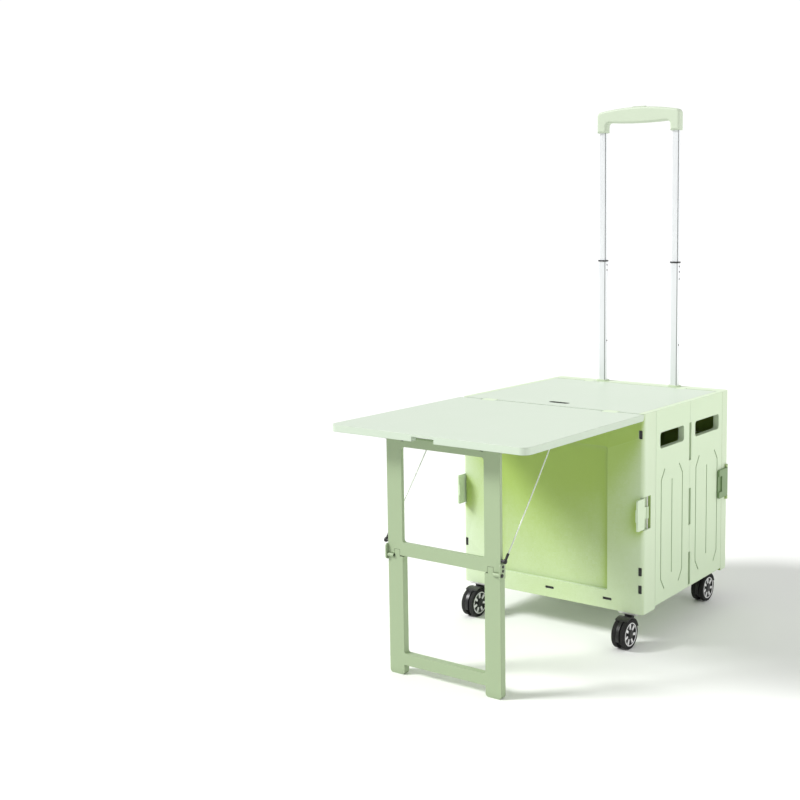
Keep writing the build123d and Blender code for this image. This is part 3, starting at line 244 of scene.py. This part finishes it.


# top is a dimmer, greyer copy of the shell plastic: painted shade that holds back the strong light on the
# lid and flap
pistachio = {"shell": (0.640, 0.765, 0.545), "frame": (0.640, 0.755, 0.545), "top": (0.570, 0.660, 0.540),
             # leg is a darker copy of the shell plastic: painted shade for legs that stand in the flap's
             # shade
             "leg": (0.345, 0.438, 0.268), "latch": (0.200, 0.310, 0.140), "grip": (0.560, 0.640, 0.500),
             "hub": (0.820, 0.840, 0.580)}
finishes = {
    "shell": mouldedPlastic("shellPlastic", pistachio["shell"]),
    # the frame carries the painted olive shade beneath the flap
    "frame": mouldedPlastic("framePlasticPaintedFlapShade", pistachio["frame"], withPaintedCoverShade=True),
    "top": mouldedPlastic("topPlastic", pistachio["top"], 0.38, 0.32),
    "leg": mouldedPlastic("legPlasticPaintedShade", pistachio["leg"], 0.45, 0.22),
    "latch": mouldedPlastic("latchPlastic", pistachio["latch"], 0.4, 0.3, 0.0008),
    "grip": mouldedPlastic("gripPlastic", pistachio["grip"], 0.5, 0.45, 0.0008),
    "hub": mouldedPlastic("hubPlastic", pistachio["hub"], 0.4, 0.2, 0.0006),
    "dark": darkPolymer("darkNylon", (0.012, 0.012, 0.012), 0.45, 900.0, 0.2),
    "caster": darkPolymer("casterNylon", (0.010, 0.010, 0.011), 0.38, 700.0, 0.2),
    "tyre": darkPolymer("tyreRubber", (0.008, 0.008, 0.008), 0.85, 420.0, 0.4),
    "tube": drawnAluminium("drawnTube", (0.86, 0.88, 0.90)),
    "steel": zincSteel("zincSteel", (0.62, 0.62, 0.60)),
    "cable": coatedWire("coatedWire", (0.80, 0.84, 0.78), 900.0),
}
slotOfNode = {row["node"]: row["material_slot"] for row in frame["record"]["subparts"]}
topNodes = ("lid_panel", "table_flap")
for name, cadObject in nodes.items():
    finish = finishes["top" if name in topNodes else slotOfNode[name]]
    if name.endswith("_hubs"):
        finish = finishes["caster"]
    cadObject.data.materials.clear()
    cadObject.data.materials.append(finish)
print("finishes on", len(nodes), "frame pieces")


def meshObject(name, points, faces, finish):
    mesh = bpy.data.meshes.new(name)
    mesh.from_pydata([tuple(p) for p in points], [], faces)
    made = bpy.data.objects.new(name, mesh)
    bpy.context.scene.collection.objects.link(made)
    work = bmesh.new()
    work.from_mesh(mesh)
    bmesh.ops.recalc_face_normals(work, faces=work.faces)
    work.to_mesh(mesh)
    work.free()
    mesh.materials.append(finish)
    for face in mesh.polygons:
        face.use_smooth = True
    return made


# a closed round bar through a list of stations, each a centre and a radius
def roundBar(stations, sides, across, up):
    points, faces = [], []
    for centre, radius in stations:
        for step in range(sides):
            turn = 2 * pi * step / sides
            points.append(centre + across * (radius * cos(turn)) + up * (radius * sin(turn)))
    for ring in range(len(stations) - 1):
        for step in range(sides):
            a, b = ring * sides + step, ring * sides + (step + 1) % sides
            faces.append((a, b, b + sides, a + sides))
    faces.append(tuple(range(sides - 1, -1, -1)))
    faces.append(tuple(range((len(stations) - 1) * sides, len(stations) * sides)))
    return points, faces


# a node tree with its inputs and one geometry output
def treeFor(name, inputs):
    tree = bpy.data.node_groups.new(name, "GeometryNodeTree")
    for label, kind, value in inputs:
        socket = tree.interface.new_socket(label, in_out="INPUT", socket_type=kind)
        if kind != "NodeSocketMaterial" and kind != "NodeSocketGeometry":
            socket.default_value = value
    tree.interface.new_socket("Geometry", in_out="OUTPUT", socket_type="NodeSocketGeometry")
    return tree


def addNode(tree, kind, settings=None, **links):
    made = tree.nodes.new(kind)
    for key, value in (settings or {}).items():
        setattr(made, key, value)
    for key, value in links.items():
        socket = made.inputs[key.replace("_", " ")]
        if isinstance(value, bpy.types.NodeSocket):
            tree.links.new(value, socket)
        else:
            socket.default_value = value
    return made


def runTree(name, tree, seedMesh, values):
    holder = bpy.data.objects.new(name + "Source", seedMesh)
    bpy.context.scene.collection.objects.link(holder)
    modifier = holder.modifiers.new("make", "NODES")
    modifier.node_group = tree
    for item in tree.interface.items_tree:
        if item.in_out == "INPUT" and item.name in values:
            modifier[item.identifier] = values[item.name]
    bpy.context.view_layer.update()
    evaluated = holder.evaluated_get(bpy.context.evaluated_depsgraph_get())
    mesh = bpy.data.meshes.new_from_object(evaluated)
    bpy.data.objects.remove(holder)
    made = bpy.data.objects.new(name, mesh)
    bpy.context.scene.collection.objects.link(made)
    return made


# copies of the seed mesh round a ring about the X axis
def ringTree():
    tree = treeFor("ringOfPieces", [("Geometry", "NodeSocketGeometry", None), ("Count", "NodeSocketInt", 8),
                                    ("Finish", "NodeSocketMaterial", None)])
    source = tree.nodes.new("NodeGroupInput")
    index = addNode(tree, "GeometryNodeInputIndex")
    share = addNode(tree, "ShaderNodeMath", {"operation": "DIVIDE"})
    tree.links.new(index.outputs[0], share.inputs[0])
    tree.links.new(source.outputs["Count"], share.inputs[1])
    angle = addNode(tree, "ShaderNodeMath", {"operation": "MULTIPLY"})
    tree.links.new(share.outputs[0], angle.inputs[0])
    angle.inputs[1].default_value = 2 * pi
    turn = addNode(tree, "ShaderNodeCombineXYZ", X=angle.outputs[0])
    points = addNode(tree, "GeometryNodePoints", Count=source.outputs["Count"])
    placed = addNode(tree, "GeometryNodeInstanceOnPoints", Points=points.outputs[0],
                     Instance=source.outputs["Geometry"])
    rotated = addNode(tree, "GeometryNodeRotateInstances", Instances=placed.outputs[0],
                      Rotation=turn.outputs[0])
    real = addNode(tree, "GeometryNodeRealizeInstances", Geometry=rotated.outputs[0])
    painted = addNode(tree, "GeometryNodeSetMaterial", Geometry=real.outputs[0],
                      Material=source.outputs["Finish"])
    result = tree.nodes.new("NodeGroupOutput")
    tree.links.new(painted.outputs[0], result.inputs[0])
    return tree


# a small block with bevelled edges, given by its middle, half sizes and taper
def blockMesh(name, middle, half, taper, bevel=0.0003):
    work = bmesh.new()
    bmesh.ops.create_cube(work, size=2)
    for corner in work.verts:
        narrow = taper if corner.co.z > 0 else 1.0
        corner.co = Vector((corner.co.x * half[0], corner.co.y * half[1] * narrow, corner.co.z * half[2]))
    bmesh.ops.bevel(work, geom=work.edges[:], offset=bevel, segments=2, affect="EDGES")
    bmesh.ops.translate(work, verts=work.verts, vec=Vector(middle))
    mesh = bpy.data.meshes.new(name)
    work.to_mesh(mesh)
    work.free()
    return mesh


# a round hoop about the X axis, with its section's radius
def hoopMesh(name, place, radius, section, turns=72, sides=10):
    points, faces = [], []
    for turn in range(turns):
        angle = 2 * pi * turn / turns
        outward = Vector((0, cos(angle), sin(angle)))
        for side in range(sides):
            lift = 2 * pi * side / sides
            points.append(Vector((place, 0, 0)) + outward * (radius + section * cos(lift))
                          + Vector((section * sin(lift), 0, 0)))
            a, b = turn * sides + side, turn * sides + (side + 1) % sides
            faces.append((a, b, (b + sides) % (turns * sides), (a + sides) % (turns * sides)))
    return meshObject(name, points, faces, finishes["hub"])


# caster wheels: spokes and two hoops in the hub's groove
wheelDetail = {"spokes": 7, "spokeHalf": (0.0011, 0.0019, 0.0052), "spokeMiddle": 0.0141,
               "spokeTaper": 1.35, "faceInset": 0.0026, "hoop": 0.0204, "hoopLift": 0.0015,
               "cap": 0.0078, "capLift": 0.0005, "hoopSection": 0.0010}
ring = ringTree()


def moveMesh(made, offset):
    for vertex in made.data.vertices:
        vertex.co += offset


def joined(name, parts):
    work = bmesh.new()
    for part in parts:
        work.from_mesh(part.data)
    mesh = bpy.data.meshes.new(name)
    work.to_mesh(mesh)
    work.free()
    mesh.materials.append(parts[0].data.materials[0])
    for part in parts:
        bpy.data.objects.remove(part)
    made = bpy.data.objects.new(name, mesh)
    bpy.context.scene.collection.objects.link(made)
    return made


for corner in ("front_right", "front_left", "rear_right", "rear_left"):
    low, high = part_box(corner + "_tyres")
    hubLow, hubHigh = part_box(corner + "_hubs")
    middle = (Vector(low) + Vector(high)) / 2
    faceX = (hubHigh[0] - hubLow[0]) / 2 - wheelDetail["faceInset"]
    wheelParts = []
    for side in (-1, 1):
        spoke = blockMesh("spoke", (side * faceX, 0, wheelDetail["spokeMiddle"]), wheelDetail["spokeHalf"],
                          wheelDetail["spokeTaper"])
        spokes = runTree("spokes", ring, spoke, {"Count": wheelDetail["spokes"], "Finish": finishes["hub"]})
        outerHoop = hoopMesh("outerHoop", side * (faceX + wheelDetail["hoopLift"]), wheelDetail["hoop"],
                             wheelDetail["hoopSection"])
        innerHoop = hoopMesh("innerHoop", side * (faceX + wheelDetail["capLift"]), wheelDetail["cap"],
                             wheelDetail["hoopSection"])
        for made in (spokes, outerHoop, innerHoop):
            moveMesh(made, middle)
            wheelParts.append(made)
    spokesAndHoops = joined(corner + "_spokes", wheelParts)
    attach(spokesAndHoops, corner + "_wheels")
print("wheel details made")


# stay cables: pulled tight between the knee and the flap
stay = {"radius": 0.0011, "stations": 48, "sides": 12, "sag": 0.0022, "inset": 0.0015, "eye": 0.004,
        "eyeReach": 0.004, "eyeTop": 0.0051, "anchorReach": 0.001, "anchorTop": 0.0013}
low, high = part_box("stay_cables")
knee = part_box("stay_low_ends")
kneeY, kneeZ = knee[0][1] + stay["eye"], knee[0][2] + stay["eye"]
across = Vector((1, 0, 0))
points, faces = [], []
for side in (-1, 1):
    x = side * (high[0] - stay["inset"])
    start = Vector((x, kneeY + stay["eyeReach"], kneeZ + stay["eyeTop"]))
    end = Vector((x, high[1] + stay["anchorReach"], high[2] + stay["anchorTop"]))
    along = (end - start).normalized()
    up = along.cross(across)
    stations = []
    for step in range(stay["stations"] + 1):
        share = step / stay["stations"]
        drop = Vector((0, 0, -stay["sag"] * 4 * share * (1 - share)))
        stations.append((start.lerp(end, share) + drop, stay["radius"]))
    own, ownFaces = roundBar(stations, stay["sides"], across, up)
    faces += [tuple(i + len(points) for i in face) for face in ownFaces]
    points += own
stayWires = meshObject("stay_wires", points, faces, finishes["cable"])
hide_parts("stay_cables")
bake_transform(stayWires)
print("stay wires made")

room = {"colour": (1.0, 1.0, 0.99, 1), "strength": 0.47}
stage = {"half": 40.0, "floor": (0.94, 0.945, 0.935), "backY": 12.0, "backHigh": 14.0, "backGlow": 1.05}


def paleFloor():
    half = stage["half"]
    floor = meshObject("floor", [(-half, -half, 0), (half, -half, 0), (half, half, 0), (-half, half, 0)],
                       [(0, 1, 2, 3)], finishes["frame"])
    shop = MaterialShop("paleFloor")
    tone = shop.blendColours(shop.noise(2.0), (*stage["floor"], 1), (0.95, 0.96, 0.94, 1))
    floor.data.materials[0] = shop.finish(Base_Color=tone, Roughness=0.85)
    floor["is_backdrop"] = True


# a glowing white sheet far behind the object
def whiteBackdrop():
    half, back, high = stage["half"], stage["backY"], stage["backHigh"]
    corners = [(-half, back, 0), (half, back, 0), (half, back, high), (-half, back, high)]
    sheet = meshObject("backdrop", corners, [(0, 1, 2, 3)], finishes["frame"])
    shop = MaterialShop("whiteBackdrop")
    glow = shop.noise(0.4) * 0.02 + (stage["backGlow"] - 0.01)
    sheet.data.materials[0] = shop.finish(Base_Color=(0, 0, 0, 1), Roughness=1.0, Specular_IOR_Level=0.0,
                                          Emission_Color=(1, 1, 1, 1), Emission_Strength=glow)
    sheet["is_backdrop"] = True


paleFloor()
whiteBackdrop()
lights = {
    "key": {"kind": "SUN", "place": (-2.2, -1.8, 2.5), "aim": (0, 0, 0.3), "size": radians(16),
            "power": 3.05},
    "fill": {"kind": "AREA", "place": (3.1, 0.3, 1.3), "aim": (0.1, 0.05, 0.3), "size": 2.2, "power": 24.0},
}
for name, light in lights.items():
    lamp = bpy.data.lights.new(name, light["kind"])
    lamp.energy = light["power"]
    if light["kind"] == "SUN":
        lamp.angle = light["size"]
    else:
        lamp.shape, lamp.size = "SQUARE", light["size"]
    lampObject = bpy.data.objects.new(name, lamp)
    lampObject.location = light["place"]
    heading = Vector(light["aim"]) - Vector(light["place"])
    lampObject.rotation_euler = heading.to_track_quat("-Z", "Y").to_euler()
    bpy.context.scene.collection.objects.link(lampObject)
world = bpy.data.worlds.new("paleRoom")
world.use_nodes = True
world.node_tree.nodes["Background"].inputs[0].default_value = room["colour"]
world.node_tree.nodes["Background"].inputs[1].default_value = room["strength"]
bpy.context.scene.world = world
bpy.context.scene.view_settings.view_transform = "Standard"

view = {"place": (1.1973, -1.8152, 0.7779), "turn": 31.87, "down": 6.19, "lens": 53.0,
        "sensor": 36.0, "shift": (-0.223, -0.066)}
camera = bpy.data.cameras.new("camera")
camera.lens, camera.sensor_width = view["lens"], view["sensor"]
camera.shift_x, camera.shift_y = view["shift"]
cameraObject = bpy.data.objects.new("camera", camera)
cameraObject.location = view["place"]
cameraObject.rotation_euler = (radians(90 - view["down"]), 0, radians(view["turn"]))
bpy.context.scene.collection.objects.link(cameraObject)
bpy.context.scene.camera = cameraObject
print("stage and camera set")

low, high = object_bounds()
